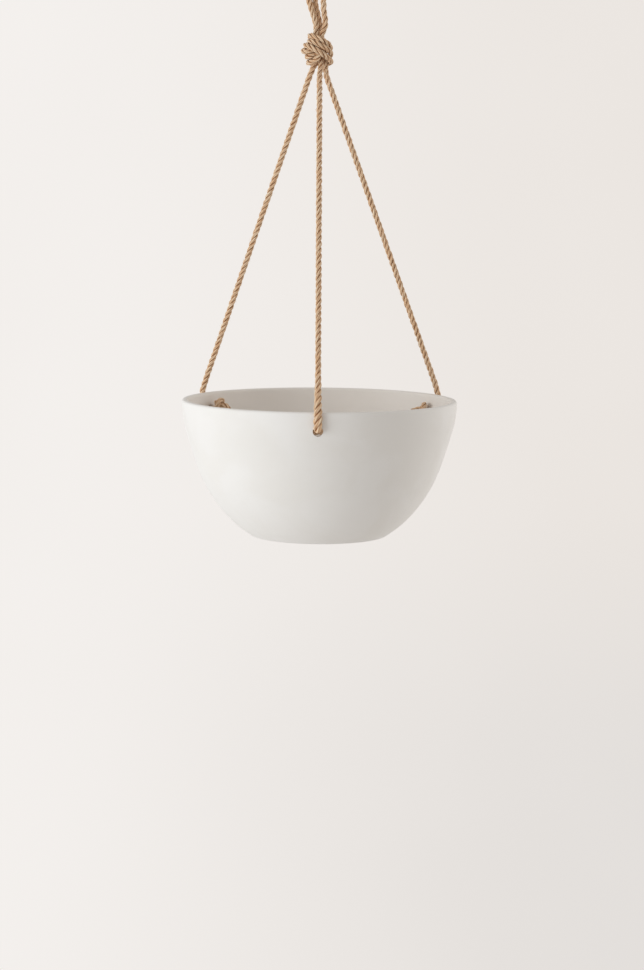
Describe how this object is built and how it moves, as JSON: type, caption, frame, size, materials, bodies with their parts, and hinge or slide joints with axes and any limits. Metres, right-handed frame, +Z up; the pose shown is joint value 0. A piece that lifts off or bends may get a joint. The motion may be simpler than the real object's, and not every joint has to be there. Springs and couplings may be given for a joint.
{
  "type": "hanging planter",
  "caption": "Round matt bowl planter hung by jute ropes that are knotted inside the bowl, gathered in one knot above it and hung on a ceiling hook.",
  "frame": {"origin": "on the hook's shank, at the ceiling's surface, with the bowl's axis straight below it", "axes": "+Z up along the shank and the bowl's axis, -Y towards the front rope, +X to the right"},
  "size_m": [0.3049, 0.3117, 0.7411],
  "materials": {
    "bowl": "matt",
    "rope": "fibrous",
    "hook": "zinc plated",
    "plug": "matt"
  },
  "bodies": {
    "ceiling_hook": {"ceiling_hook": "hook"},
    "top_knot": {"top_knot": "rope"},
    "eye": {"eye_strand_left": "rope", "eye_strand_middle": "rope", "eye_strand_right": "rope"},
    "planter": {"gathering_knot": "rope", "leg_front": "rope", "leg_back_left": "rope", "leg_back_right": "rope", "stopper_knot_front": "rope", "stopper_knot_back_left": "rope", "stopper_knot_back_right": "rope", "bowl": "bowl"},
    "drain_plug": {"drain_plug": "plug"}
  },
  "joints": [
    {"name": "swing_side", "type": "hinge", "parent": "ceiling_hook", "child": "top_knot", "pos_m": [0, 0, -0.07209], "axis": [0, 1, 0], "range_deg": [-30, 30]},
    {"name": "swing_front", "type": "hinge", "parent": "top_knot", "child": "eye", "pos_m": [0, 0, -0.07209], "axis": [1, 0, 0], "range_deg": [-25, 25], "deforming": ["eye_strand_left", "eye_strand_middle", "eye_strand_right"]},
    {"name": "turn", "type": "hinge", "parent": "eye", "child": "planter", "pos_m": [0, 0, -0.14809], "axis": [0, 0, 1], "range_deg": [-180, 180], "deforming": ["eye_strand_left", "eye_strand_middle", "eye_strand_right"]},
    {"name": "plug_lift", "type": "slide", "parent": "planter", "child": "drain_plug", "axis": [0, 0, 1], "range_m": [0, 0.16]}
  ]
}
